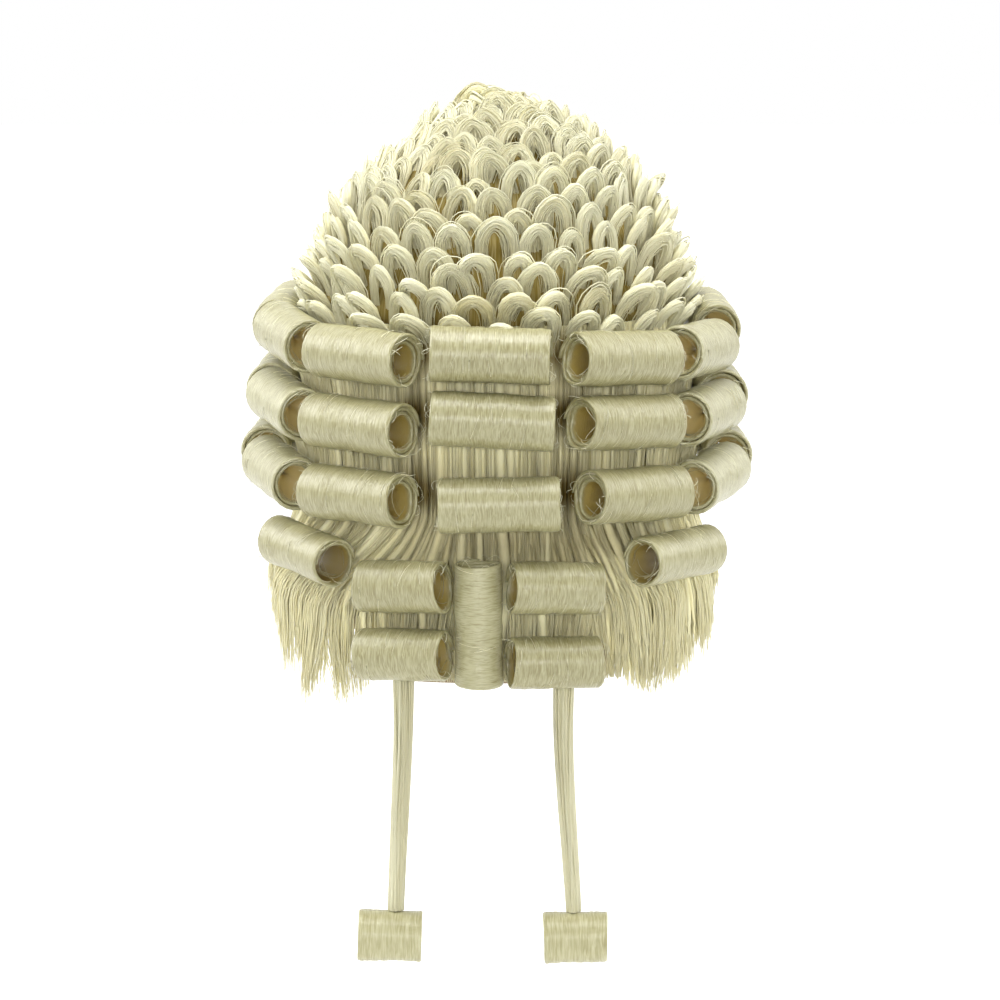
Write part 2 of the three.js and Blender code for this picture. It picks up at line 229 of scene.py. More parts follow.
def strand_tree():
    """Sweeps a flattened round section along every strand, at the strand's own thickness."""
    tree = bpy.data.node_groups.new("hair_strands", "GeometryNodeTree")
    tree.interface.new_socket("Strands", in_out="INPUT", socket_type="NodeSocketGeometry")
    tree.interface.new_socket("Section sides", in_out="INPUT", socket_type="NodeSocketInt")
    tree.interface.new_socket("Section flatness", in_out="INPUT", socket_type="NodeSocketFloat")
    tree.interface.new_socket("Finish", in_out="INPUT", socket_type="NodeSocketMaterial")
    tree.interface.new_socket("Hair", in_out="OUTPUT", socket_type="NodeSocketGeometry")
    nodes, links = tree.nodes, tree.links
    given = nodes.new("NodeGroupInput")
    made = nodes.new("NodeGroupOutput")
    curves = nodes.new("GeometryNodeMeshToCurve")
    links.new(given.outputs["Strands"], curves.inputs["Mesh"])
    facing = nodes.new("GeometryNodeInputNamedAttribute")
    facing.data_type = "FLOAT_VECTOR"
    facing.inputs["Name"].default_value = "facing"
    turned = nodes.new("GeometryNodeSetCurveNormal")
    turned.mode = "FREE"
    links.new(curves.outputs["Curve"], turned.inputs["Curve"])
    links.new(facing.outputs["Attribute"], turned.inputs["Normal"])
    section = nodes.new("GeometryNodeCurvePrimitiveCircle")
    section.inputs["Radius"].default_value = 1
    links.new(given.outputs["Section sides"], section.inputs["Resolution"])
    place = nodes.new("GeometryNodeInputPosition")
    around = nodes.new("GeometryNodeStoreNamedAttribute")
    around.data_type = "FLOAT_VECTOR"
    around.inputs["Name"].default_value = "around"
    links.new(section.outputs["Curve"], around.inputs["Geometry"])
    links.new(place.outputs["Position"], around.inputs["Value"])
    squash = nodes.new("ShaderNodeCombineXYZ")
    squash.inputs["Y"].default_value = 1
    squash.inputs["Z"].default_value = 1
    links.new(given.outputs["Section flatness"], squash.inputs["X"])
    flattened = nodes.new("GeometryNodeTransform")
    links.new(around.outputs["Geometry"], flattened.inputs["Geometry"])
    links.new(squash.outputs["Vector"], flattened.inputs["Scale"])
    thickness = nodes.new("GeometryNodeInputNamedAttribute")
    thickness.data_type = "FLOAT"
    thickness.inputs["Name"].default_value = "thickness"
    sweep = nodes.new("GeometryNodeCurveToMesh")
    sweep.inputs["Fill Caps"].default_value = True
    links.new(turned.outputs["Curve"], sweep.inputs["Curve"])
    links.new(flattened.outputs["Geometry"], sweep.inputs["Profile Curve"])
    links.new(thickness.outputs["Attribute"], sweep.inputs["Scale"])
    smooth = nodes.new("GeometryNodeSetShadeSmooth")
    links.new(sweep.outputs["Mesh"], smooth.inputs["Geometry"])
    realized = nodes.new("GeometryNodeRealizeInstances")
    links.new(smooth.outputs["Geometry"], realized.inputs["Geometry"])
    finished = nodes.new("GeometryNodeSetMaterial")
    links.new(realized.outputs["Geometry"], finished.inputs["Geometry"])
    links.new(given.outputs["Finish"], finished.inputs["Material"])
    links.new(finished.outputs["Geometry"], made.inputs["Hair"])
    return tree


STRAND_TREE = strand_tree()


def strand_mesh(name, paths, facings, thickness, tones, shades, sides, flatness, material):
    """One mesh of closed strands from their paths: arrays of strands by points along each."""
    count, length = paths.shape[:2]
    index = np.arange(count * length).reshape(count, length)
    edges = np.stack([index[:, :-1], index[:, 1:]], -1).reshape(-1, 2)
    steps = np.linalg.norm(np.diff(paths, axis=1), axis=-1) / LINE_UNIT
    along = np.concatenate([np.zeros((count, 1)), np.cumsum(steps, 1)], 1)
    lines = bpy.data.meshes.new(name + "_lines")
    lines.from_pydata(paths.reshape(-1, 3).tolist(), edges.tolist(), [])
    set_column(lines, "thickness", np.broadcast_to(thickness, (count, length)).ravel())
    set_column(lines, "tone", np.repeat(tones, length))
    set_column(lines, "shade", np.broadcast_to(shades, (count, length)).ravel())
    set_column(lines, "along", along.ravel())
    set_column(lines, "facing", np.broadcast_to(facings, paths.shape).reshape(-1, 3))
    holder = bpy.data.objects.new(name + "_lines", lines)
    bpy.context.scene.collection.objects.link(holder)
    modifier = holder.modifiers.new("strands", "NODES")
    modifier.node_group = STRAND_TREE
    settings = {"Section sides": sides, "Section flatness": flatness, "Finish": material}
    for socket in STRAND_TREE.interface.items_tree:
        if socket.name in settings:
            modifier[socket.identifier] = settings[socket.name]
    evaluated = holder.evaluated_get(bpy.context.evaluated_depsgraph_get())
    mesh = bpy.data.meshes.new_from_object(evaluated)
    mesh.name = name
    bpy.data.objects.remove(holder)
    bpy.data.meshes.remove(lines)
    return mesh


def hair_finish(name, pale, deep, shaded, lines_each, contrast, gloss, broken=0.3):
    """Horsehair as fine lines along its strands, each lock in its own tone, browner where shade is
    painted.
    """
    material = bpy.data.materials.new(name)
    material.use_nodes = True
    nodes, links = material.node_tree.nodes, material.node_tree.links
    shader = nodes["Principled BSDF"]
    shader.inputs["Roughness"].default_value = 0.34
    shader.inputs["Specular IOR Level"].default_value = gloss
    shader.inputs["Subsurface Weight"].default_value = 0.2
    shader.inputs["Subsurface Radius"].default_value = (1, 1, 1)
    shader.inputs["Subsurface Scale"].default_value = 0.8 * MM
    column = {}
    for label in ("tone", "shade", "along", "around"):
        column[label] = nodes.new("ShaderNodeAttribute")
        column[label].attribute_name = label
    lengthwise = nodes.new("ShaderNodeMath")
    lengthwise.operation = "MULTIPLY_ADD"
    lengthwise.inputs[1].default_value = 40
    links.new(column["tone"].outputs["Fac"], lengthwise.inputs[0])
    links.new(column["along"].outputs["Fac"], lengthwise.inputs[2])
    offset = nodes.new("ShaderNodeCombineXYZ")
    links.new(lengthwise.outputs["Value"], offset.inputs["Z"])
    slow_place = nodes.new("ShaderNodeVectorMath")
    slow_place.operation = "MULTIPLY_ADD"
    slow_place.inputs[1].default_value = (0.35, 0.35, 0.35)
    links.new(column["around"].outputs["Vector"], slow_place.inputs[0])
    links.new(offset.outputs["Vector"], slow_place.inputs[2])
    slow = nodes.new("ShaderNodeTexNoise")
    slow.inputs["Scale"].default_value = 1
    slow.inputs["Detail"].default_value = 1
    links.new(slow_place.outputs["Vector"], slow.inputs["Vector"])
    wander = nodes.new("ShaderNodeVectorMath")
    wander.operation = "MULTIPLY_ADD"
    wander.inputs[1].default_value = (0.7 * broken, 0.7 * broken, 0)
    links.new(slow.outputs["Color"], wander.inputs[0])
    links.new(column["around"].outputs["Vector"], wander.inputs[2])
    noises = {}
    for label, count, length, detail in (
        ("coarse", lines_each, 1.6 * broken, 2),
        ("fine", 2.6 * lines_each, 2.6 * broken, 1),
    ):
        lengths = nodes.new("ShaderNodeVectorMath")
        lengths.operation = "MULTIPLY"
        lengths.inputs[1].default_value = (0, 0, length)
        links.new(offset.outputs["Vector"], lengths.inputs[0])
        place = nodes.new("ShaderNodeVectorMath")
        place.operation = "MULTIPLY_ADD"
        place.inputs[1].default_value = (count, count, count)
        links.new(wander.outputs["Vector"], place.inputs[0])
        links.new(lengths.outputs["Vector"], place.inputs[2])
        noises[label] = nodes.new("ShaderNodeTexNoise")
        noises[label].inputs["Scale"].default_value = 1
        noises[label].inputs["Detail"].default_value = detail
        links.new(place.outputs["Vector"], noises[label].inputs["Vector"])
    lines = nodes.new("ShaderNodeMix")
    lines.inputs["Factor"].default_value = 0.35
    links.new(noises["coarse"].outputs["Fac"], lines.inputs["A"])
    links.new(noises["fine"].outputs["Fac"], lines.inputs["B"])
    streak = nodes.new("ShaderNodeMapRange")
    streak.inputs["From Min"].default_value = 0.3
    streak.inputs["From Max"].default_value = 0.7
    streak.inputs["To Min"].default_value = -contrast
    streak.inputs["To Max"].default_value = contrast
    links.new(lines.outputs["Result"], streak.inputs["Value"])
    blend = nodes.new("ShaderNodeMath")
    blend.use_clamp = True
    links.new(streak.outputs["Result"], blend.inputs[0])
    links.new(column["tone"].outputs["Fac"], blend.inputs[1])
    strand = nodes.new("ShaderNodeMix")
    strand.data_type = "RGBA"
    strand.inputs["A"].default_value = deep
    strand.inputs["B"].default_value = pale
    links.new(blend.outputs["Value"], strand.inputs["Factor"])
    # Painted shade: the shade column mixes the shaded colour into the hair.
    colour = nodes.new("ShaderNodeMix")
    colour.data_type = "RGBA"
    colour.inputs["B"].default_value = shaded
    links.new(column["shade"].outputs["Fac"], colour.inputs["Factor"])
    links.new(strand.outputs["Result"], colour.inputs["A"])
    links.new(colour.outputs["Result"], shader.inputs["Base Color"])
    raised = nodes.new("ShaderNodeBump")
    raised.inputs["Strength"].default_value = 0.8
    raised.inputs["Distance"].default_value = 0.4 * MM
    links.new(lines.outputs["Result"], raised.inputs["Height"])
    links.new(raised.outputs["Normal"], shader.inputs["Normal"])
    return material


CREAM = (0.96, 0.91, 0.58, 1)
STRAW = (0.74, 0.64, 0.29, 1)
# Painted shade: umber is mixed into the straight hair behind the rows of curls, beside them and at the
# nape, and into the crown base.
UMBER_SHADE = (0.15, 0.10, 0.014, 1)
FAN_DROPS = (160 * MM, 208 * MM)
FAN_LEFT = -26
FAN_RIGHT = 12
FAN_FROM = (6, 30)
FAN_TO = (60, 95)
CURL_ROWS = (95, 121, 153)
CHANNELS = (-34, 31)
SHADOW_REACH = 8
NAPE_SHADOW = (12, 176)
NAPE_SHADOW_REACH = (50, 13)
SIDE_GAPS = (104 * MM, 133 * MM)
SIDE_GAP_REACH = 5 * MM
SIDE_PUFF = 4.5 * MM
SIDE_LIFT = 3.5 * MM
SIDE_LIFT_AZIMUTHS = (35, 70)
LOOSE_DROPS = (150 * MM, 200 * MM)
SWAY_LENGTH = 13 * MM
ROOT_SCATTER = 8 * MM
LEAST_OUT = 0.7 * MM
TEMPLE_EDGE = 113
TEMPLE_REACH = 18
straight_finish = hair_finish("straight_horsehair", CREAM, STRAW, UMBER_SHADE, 5, 0.35, 0.15)


def fan(azimuth, drop):
    """How far the loose ends spread round the head below the curls, most on the left."""
    beside = smooth_step(*FAN_FROM, np.abs(azimuth)) * (1 - smooth_step(*FAN_TO, np.abs(azimuth)))
    return np.where(azimuth < 0, FAN_LEFT, FAN_RIGHT) * beside * smooth_step(*FAN_DROPS, drop)


def straight_hair(random, count, points, clumps, gather, layer, spread_out, cut, root=None):
    """Paths of hair that hangs down the cap in clumps, each strand to its own ragged end."""
    spread = np.linspace(-1, 1, count) + random.uniform(-0.6, 0.6, count) / count
    share = np.linspace(0, 1, points)[None, :]
    clump = np.clip(((spread + 1) / 2 * clumps).astype(int), 0, clumps - 1)
    middle = (clump + 0.5) / clumps * 2 - 1 + random.normal(0, 0.3 / clumps, clumps)[clump]
    gathered = spread[:, None] + (middle - spread)[:, None] * gather * smooth_step(0.5, 1, share)
    azimuth = gathered * (TEMPLE_EDGE + (0 if root else TEMPLE_REACH) * (1 - share) ** 3)
    start = edge_drop(azimuth[:, :1], CROWN_DROPS) - FRINGE_INSET
    if root:
        start = root + random.uniform(-1, 1, (count, 1)) * ROOT_SCATTER
        layer = layer * (0.6 + 0.4 * smooth_step(0, 0.3, share))
    tip = azimuth[:, -1:] + spread_out * fan(azimuth[:, -1:], FAN_DROPS[1])
    ragged = smooth_step(*RAGGED_AZIMUTHS, np.abs(tip))
    end = np.interp(tip, FRINGE_AZIMUTHS, FRINGE_DROPS) * MM
    uneven = random.normal(0, cut, clumps)[clump, None] + random.normal(0, 0.6 * cut, (count, 1))
    drop = start + (end + ragged * uneven - start) * share
    loose = smooth_step(*LOOSE_DROPS, drop)
    swing = random.normal(0, 1, clumps)[clump, None]
    sway = swing * np.sin(drop / SWAY_LENGTH + random.uniform(0, 6, clumps)[clump, None])
    drift = np.cumsum(random.normal(0, 0.06 + 0.25 * spread_out, (count, points)), 1) * share
    azimuth = azimuth + spread_out * (fan(azimuth, drop) + loose * 1.1 * sway) + drift
    inside = CAP_WALL + FRINGE_GAP
    reach = inside + (hair_out(azimuth, drop) - inside) * layer * random.uniform(0.9, 1.08, (count, 1))
    lift = random.normal(0, 1.1 * MM, clumps)[clump, None] * loose
    lift = lift + SIDE_LIFT * loose * smooth_step(*SIDE_LIFT_AZIMUTHS, -azimuth)
    between = sum(np.exp(-(((drop - level) / SIDE_GAP_REACH) ** 2)) for level in SIDE_GAPS)
    lift = lift + SIDE_PUFF * between * np.sin(np.radians(azimuth)) ** 4
    reach = reach + lift + np.cumsum(random.normal(0, 0.2 * MM, (count, points)), 1) * share
    return on_head(azimuth, run_at_drop(drop), np.maximum(reach, inside + LEAST_OUT))


def taper(points, full, tip, from_share):
    """A strand's half-width, which narrows from a share of its length to the tip."""
    share = np.linspace(0, 1, points)
    return full + (tip - full) * np.clip((share - from_share) / (1 - from_share), 0, 1) ** 1.5


def under_curls(path):
    """How deep in shadow the straight hair lies: browner behind each row of curls and at the nape."""
    across, drop = path[..., 0] / MM, -path[..., 2] / MM
    rows = sum(np.exp(-(((drop - level) / SHADOW_REACH) ** 2)) for level in CURL_ROWS)
    beside = sum(np.exp(-(((across - middle) / SHADOW_REACH) ** 2)) for middle in CHANNELS)
    from_nape_x = (across - NAPE_SHADOW[0]) / NAPE_SHADOW_REACH[0]
    from_nape_drop = (drop - NAPE_SHADOW[1]) / NAPE_SHADOW_REACH[1]
    nape = np.exp(-(from_nape_drop**2) - from_nape_x**4)
    return np.clip((0.2 + 1.4 * beside) * rows + 0.1 * beside + 0.5 * nape, 0, 1)


random = np.random.default_rng(11)
LOCK_POINTS = 24
LOCK_GATHER = 0.6
LOCK_TIP = 0.4 * MM
LOOSE_TIP = 0.12 * MM
locks = []
for count, clumps, layer, width, spread_out, cut, root, tone, varied in (
    (150, 150, 0.5, 2.6, 0.15, 4, None, 0.8, 0.2),
    (170, 170, 0.8, 2.3, 0.85, 5, None, 0.9, 0.2),
    (120, 44, 0.87, 1.8, 1.0, 5, 160, 0.75, 0.2),
):
    path, normal = straight_hair(
        random, count, LOCK_POINTS, clumps, LOCK_GATHER, layer, spread_out, cut * MM, root and root * MM
    )
    thickness = taper(LOCK_POINTS, width * MM, LOCK_TIP, 0.75)[None, :]
    thickness = thickness * random.uniform(0.65, 1.25, (count, 1))
    thickness[:, 0] *= 0.4
    tones = tone + random.uniform(-varied, varied, count)
    shades = np.clip(under_curls(path) * random.uniform(0.75, 1.25, (count, 1)), 0, 1)
    locks.append((path, normal, thickness, tones, shades))
paths, facings, thickness, tones, shades = (np.concatenate(column) for column in zip(*locks))
mesh = strand_mesh("hair_fringe", paths, facings, thickness, tones, shades, 5, 0.3, straight_finish)
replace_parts(add_piece("hair_fringe_locks", mesh), "hair_fringe")

for name, count, points, clumps, gather, layer, cut, root, radius in (
    ("hair_fringe_ends", 2000, 9, 34, 0.4, 1.0, 6, 186, 0.32),
    ("hair_fringe_strands", 420, 14, 420, 0, 0.95, 6, None, 0.24),
):
    path, normal = straight_hair(
        random, count, points, clumps, gather, layer, 1.0, cut * MM, root and root * MM
    )
    thickness = taper(points, radius * MM, LOOSE_TIP, 0.6)[None, :]
    tones = random.uniform(0.6, 1.05, count)
    mesh = strand_mesh(name, path, normal, thickness, tones, under_curls(path), 3, 1, straight_finish)
    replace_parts(add_piece(name, mesh), "hair_fringe")

# Crown loops
# The crown is covered with rows of looped locks: each is a smooth flat bundle of horsehair sewn
# down by its two ends, so that it stands up as an arch over the feet of the row above.
LOOP_ROWS = 18
ROWS_TO_EDGE = 16
LOOP_PITCH = 18.6 * MM
LOOP_ROW_SHIFT = 1.0
LOOP_BASE = CAP_WALL + 1.2 * MM
LOOP_HALF_WIDTH = 10 * MM
LOOP_HEIGHT = 20.5 * MM
LOOP_FOOT = 5 * MM
LOOP_LEAN = math.radians(34)
LOOP_DEPTH = 2.2 * MM
LEAST_LOOP_RUN = 3 * MM
FRONT_AZIMUTHS = (112, 135)
FLAT_SHARE = 0.5
FLAT_SPREAD = 0.22
MOST_FLAT = 0.7
LOOP_POINTS = 12
LOOP_WAY = np.linspace(-1, 1, LOOP_POINTS)
LOOP_WAY = np.sign(LOOP_WAY) * np.abs(LOOP_WAY) ** 1.25
STRAND_WAVE = 0.07
LOOP_STRANDS = 18
LOOSE_STRANDS = 3
STRAND_RADII = (0.2 * MM, 0.36 * MM)
CORE_HALF_WIDTH = 2.8 * MM
BASE_ROWS = 20
BASE_COLUMNS = 96
BASE_OUTSIDE = CAP_WALL + 1.6 * MM
BASE_INSIDE = CAP_WALL + TAPE_SWELL + 0.1 * MM
LINE_SPACING = 2.4 * MM
# Painted shade: olive is mixed into the loops towards their feet and on their inner strands, and into the
# loose hairs inside the curls; it is also the dark end of the crown base's hair.
OLIVE_SHADE = (0.27, 0.22, 0.07, 1)
PALE = (0.96, 0.94, 0.67, 1)
WHEAT = (0.72, 0.65, 0.36, 1)
loop_finish = hair_finish("looped_horsehair", PALE, WHEAT, OLIVE_SHADE, 1.5, 0.3, 0.5)
core_finish = hair_finish("looped_horsehair_core", PALE, WHEAT, OLIVE_SHADE, 9, 0.7, 0.4)
base_finish = hair_finish("crown_base_horsehair", WHEAT, OLIVE_SHADE, UMBER_SHADE, 3, 1.0, 0)


def base_mesh():
    """The short hair under the loops, close against the cap, kept dark with painted shade."""
    azimuth = np.linspace(-180, 180, BASE_COLUMNS, endpoint=False)[None, :]
    share = np.linspace(0, 1, BASE_ROWS + 1)[1:, None]
    run = run_at_drop(edge_drop(azimuth, CROWN_DROPS)) * share
    outer, _ = on_head(azimuth, run, BASE_OUTSIDE)
    inner, _ = on_head(azimuth, run, BASE_INSIDE)
    top = [(0, 0, BASE_OUTSIDE), (0, 0, BASE_INSIDE)]
    points = np.concatenate([outer.reshape(-1, 3), inner.reshape(-1, 3), top])
    mesh = bpy.data.meshes.new("crown_base")
    mesh.from_pydata(points.tolist(), [], shell_faces(BASE_ROWS, BASE_COLUMNS))
    mesh.shade_smooth()
    # Painted shade: a low tone and a shade of 0.68 darken the base for the shadow under the loops.
    set_column(mesh, "tone", np.full(len(points), 0.3))
    set_column(mesh, "shade", np.full(len(points), 0.68))
    set_column(mesh, "along", np.concatenate([np.tile(run.ravel(), 2) / LINE_UNIT, [0, 0]]))
    turn = np.broadcast_to(np.radians(azimuth), run.shape).ravel()
    lines = np.stack([np.sin(turn), np.cos(turn), 0 * turn], -1) * (HEAD_HALF_WIDTH / LINE_SPACING)
    set_column(mesh, "around", np.concatenate([lines, lines, [(0, 0, 0), (0, 0, 0)]]))
    mesh.materials.append(base_finish)
    return mesh


def crown_places(random):
    """Azimuth, row share and row of every loop, from the crown's edge to its top."""
    places = []
    head_radius = math.hypot(HEAD_HALF_WIDTH, HEAD_HALF_DEPTH) / math.sqrt(2)
    for row in range(LOOP_ROWS):
        share = 1 - (row - LOOP_ROW_SHIFT) / ROWS_TO_EDGE
        polar = float(run_at_drop(edge_drop(0, CROWN_DROPS))) * share / DOME_RUN * math.pi / 2
        girth = 2 * math.pi * head_radius * math.sin(polar)
        loops = max(5, round(girth / LOOP_PITCH))
        start = (row % 2) * 180 / loops
        for loop in range(loops):
            azimuth = start + loop * 360 / loops + random.normal(0, 0.05) * 360 / loops
            azimuth = (azimuth + 180) % 360 - 180
            shorter = 1 - 0.1 * smooth_step(*FRONT_AZIMUTHS, abs(azimuth))
            places.append((azimuth, share * shorter + random.normal(0, 0.008), row))
    return places


def loop_frame(random, azimuth, share):
    """Where a loop is sewn on, and the directions across it, up it and out of the head."""
    run = max(float(run_at_drop(edge_drop(azimuth, CROWN_DROPS))) * share, LEAST_LOOP_RUN)
    foot, normal = on_head(azimuth, run, LOOP_BASE)
    above, _ = on_head(azimuth, max(run - 2 * MM, 0), LOOP_BASE)
    up = (above - foot) / np.linalg.norm(above - foot)
    across = np.cross(up, normal)
    skew = random.normal(0, 0.17)
    skewed_across = across * math.cos(skew) + up * math.sin(skew)
    skewed_up = up * math.cos(skew) - across * math.sin(skew)
    return foot, skewed_across, skewed_up, normal


def loop_paths(random, azimuth, share):
    """One loop: its core, then its strands from the opening outwards, with the way it faces."""
    foot, across, up, normal = loop_frame(random, azimuth, share)
    size = random.normal(1, 0.09)
    opening = random.uniform(0.82, 1.06)
    pressed = min(0.4 - 0.4 * math.sin(math.radians(azimuth)), MOST_FLAT)
    flat = pressed * math.exp(-(((share - FLAT_SHARE) / FLAT_SPREAD) ** 2))
    lean = (LOOP_LEAN + random.normal(0, 0.12)) * (1 - flat)
    way = LOOP_WAY[None, :]
    arch = 1 - np.abs(way) ** 1.62
    tuck = LOOP_FOOT * np.clip((np.abs(way) - 0.75) / 0.25, 0, 1)
    each = (1 + LOOP_STRANDS, 1)
    nest = (np.arange(-1, LOOP_STRANDS)[:, None] + random.uniform(0, 1, each)) / LOOP_STRANDS
    nest[0] = 0.5
    nest[-LOOSE_STRANDS:] = random.uniform(0.65, 1.04, (LOOSE_STRANDS, 1))
    strength = np.clip(random.standard_t(3, each), -3, 3) * STRAND_WAVE
    wave = strength * np.sin(way * random.uniform(1, 3.5, each) + random.uniform(0, 6, each))
    wave[-LOOSE_STRANDS:] *= 2
    half = LOOP_HALF_WIDTH * size * opening * (0.28 + 0.72 * (nest + wave))
    rise = LOOP_HEIGHT * size * (0.68 + 0.32 * (nest + wave)) * arch
    side = half * (np.sin(0.69 * math.pi * way) + random.normal(0, 0.12) * (1 - way**2))
    bow = lean * (0.55 + 0.5 * arch)
    rounding = np.sqrt(np.clip(1 - ((nest - 0.5) / 0.58) ** 2, 0, 1))
    bulge = (LOOP_DEPTH * rounding + random.normal(0, 0.22 * MM, each)) * np.sqrt(arch)
    bulge[0] = 0
    climb = rise * np.cos(bow) - bulge * math.sin(lean) - tuck
    out = rise * np.sin(bow) + bulge * math.cos(lean) - 0.4 * tuck
    paths = foot + across * side[..., None] + up * climb[..., None] + normal * out[..., None]
    return paths, normal * math.cos(lean) - up * math.sin(lean), nest[:, 0]


random = np.random.default_rng(23)
CROWN_BANDS = {
    "crown_loops_edge": 0,
    "crown_loops_lower": 4,
    "crown_loops_upper": 7,
    "crown_loops_top": 11,
}
bands = {name: [] for name in CROWN_BANDS}
for azimuth, share, row in crown_places(random):
    paths, facing, nest = loop_paths(random, azimuth, share)
    tones = np.clip(random.normal(0.78, 0.14) + random.normal(0, 0.15, 1 + LOOP_STRANDS), 0.2, 1)
    name = [band for band, first in CROWN_BANDS.items() if row >= first][-1]
    bands[name].append((paths, np.broadcast_to(facing, (1 + LOOP_STRANDS, 3)), nest, tones))
from_top = np.abs(LOOP_WAY)
narrowing = 0.65 + 0.35 * np.cos(LOOP_WAY * math.pi / 2) ** 0.6
foot_shade = np.clip((from_top - 0.36) / 0.55, 0, 1) ** 1.2 * 0.35
cores = []
for name, loops in bands.items():
    cores += [tuple(column[:1] for column in loop) for loop in loops]
    over = [[part[1:] for part in column] for column in zip(*loops)]
    paths, facings, nest, tones = (np.concatenate(column) for column in over)
    thickness = random.uniform(*STRAND_RADII, (len(paths), 1)) * narrowing
    shades = np.clip(foot_shade + 0.2 * (1 - nest[:, None]) ** 2, 0, 1)
    mesh = strand_mesh(name, paths, facings[:, None, :], thickness, tones, shades, 3, 1, loop_finish)
    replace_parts(add_piece(name, mesh), "crown")
paths, facings, _, tones = (np.concatenate(column) for column in zip(*cores))
pointed = 1 - 0.7 * np.clip((from_top - 0.65) / 0.35, 0, 1)
thickness = (CORE_HALF_WIDTH * narrowing * pointed)[None, :]
shades = 1.5 * foot_shade
facings = facings[:, None, :]
mesh = strand_mesh("crown_cores", paths, facings, thickness, tones, shades, 6, 0.55, core_finish)
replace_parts(add_piece("crown_cores", mesh), "crown")
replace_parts(add_piece("crown_base", base_mesh()), "crown")

# Curls
# Every curl is a sheet of combed horsehair rolled into a tube and set with its lap against the
# hair behind it. Three rows go round the back and sides, with smaller ones at the nape.
ROLL_WALL = 1.6 * MM
ROLL_LAP = 1.7 * MM
ROLL_RECESS = 1.1 * MM
ROLL_ROWS = 28
ROLL_COLUMNS = 24
ROLL_WAVES = ((38, 0.3), (21, 0.16), (9, 0.10), (5, 0.09), (3.1, 0.08), (2.2, 0.06))
# Length, diameter and distance from the hair in mm, then turns, waist and tone; the upright curl's higher
# tone is painted light, as little light from above reaches its front
ROLL_SIZES = {
    "row": (52, 24, 0.4, 2.45, 0, 0.55),
    "open": (52, 24, 0.4, 2.2, 0.85, 0.6),
    "side": (50, 22, 0.4, 1.5, 0, 0.55),
    "nape": (40, 23, 0.4, 1.5, 0, 0.5),
    "upright": (54, 21, -0.4, 3.2, 0, 0.85),
    "tail": (28, 24, 0.3, 2.6, 0, 0.4),
}
# Name, size, azimuth from the back, drop below the top in mm, and tilt
CURLS = (
    ("curl_top_centre", "row", -1.5, 95, -1.5),
    ("curl_top_left_1", "row", -35, 96, -3),
    ("curl_top_left_2", "open", -67, 91.5, -7),
    ("curl_top_left_3", "open", -97, 86, -7),
    ("curl_top_right_1", "row", 32, 97, -1.5),
    ("curl_top_right_2", "open", 64, 96, 1),
    ("curl_top_right_3", "open", 94, 88, 6),
    ("curl_middle_centre", "row", -1, 119, -3),
    ("curl_middle_left_1", "row", -35, 123, -3),
    ("curl_middle_left_2", "open", -67.5, 119, -7),
    ("curl_middle_left_3", "open", -97.5, 113, -7),
    ("curl_middle_right_1", "row", 32.5, 121.5, -1.5),
    ("curl_middle_right_2", "open", 65.5, 122, 3.5),
    ("curl_middle_right_3", "open", 95.5, 116, 6),
    ("curl_low_centre", "row", 0.5, 155, 1),
    ("curl_low_left_1", "row", -35, 153.5, -2),
    ("curl_low_left_2", "open", -68.5, 149.5, -7),
    ("curl_low_left_3", "open", -98.5, 141, -8),
    ("curl_low_right_1", "row", 34.5, 153, -0.5),
    ("curl_low_right_2", "open", 67, 151.5, 5.5),
    ("curl_low_right_3", "open", 97, 143, 7),
    ("curl_side_left", "side", -53, 181, -7),
    ("curl_side_right", "side", 48, 182, 2),
    ("curl_nape_upper_left", "nape", -22.8, 192, 2),
    ("curl_nape_upper_right", "nape", 14, 192, -2),
    ("curl_nape_lower_left", "nape", -22.8, 222, 2),
    ("curl_nape_lower_right", "nape", 14, 225, -1),
    ("curl_nape_upright", "upright", -4.5, 208, 90),
)
HAIRS_OVER = 18
HAIRS_SPRUNG = 22
HAIRS_WITHIN = 22
HAIR_POINTS = 7
HAIR_COUNTS = (HAIRS_OVER, HAIRS_SPRUNG, HAIRS_WITHIN)
HAIR_SHADES = np.repeat((0, 0.1, 0.6), HAIR_COUNTS)
HAIR_RADII = np.repeat((0.11 * MM, 0.15 * MM, 0.16 * MM), HAIR_COUNTS)
# Painted shade, warmed like light passing through the hair: gold brown is mixed into the inside of every
# roll and its inner turns.
GOLD_SHADE = (0.42, 0.315, 0.08, 1)
# The open curls at the sides take a copy of the rolled finish that is paler outside, with painted light
# inside them: lit gold, as if light came through their walls.
LIT_GOLD = (0.78, 0.66, 0.33, 1)
ROLLED_PALE = (0.45, 0.43, 0.24, 1)
ROLLED_DEEP = (0.27, 0.24, 0.10, 1)
OPEN_PALE = (0.51, 0.495, 0.305, 1)
curl_finish = hair_finish("rolled_horsehair", ROLLED_PALE, ROLLED_DEEP, GOLD_SHADE, 5, 0.9, 1.0, 1)
open_finish = hair_finish("open_rolled_horsehair", OPEN_PALE, ROLLED_DEEP, LIT_GOLD, 5, 0.9, 1.0, 1)


def round_axis(reach, angle, level):
    """Points at a reach from an axis along Z, an angle round it and a level along it."""
    return np.stack(np.broadcast_arrays(reach * np.cos(angle), reach * np.sin(angle), level), -1)


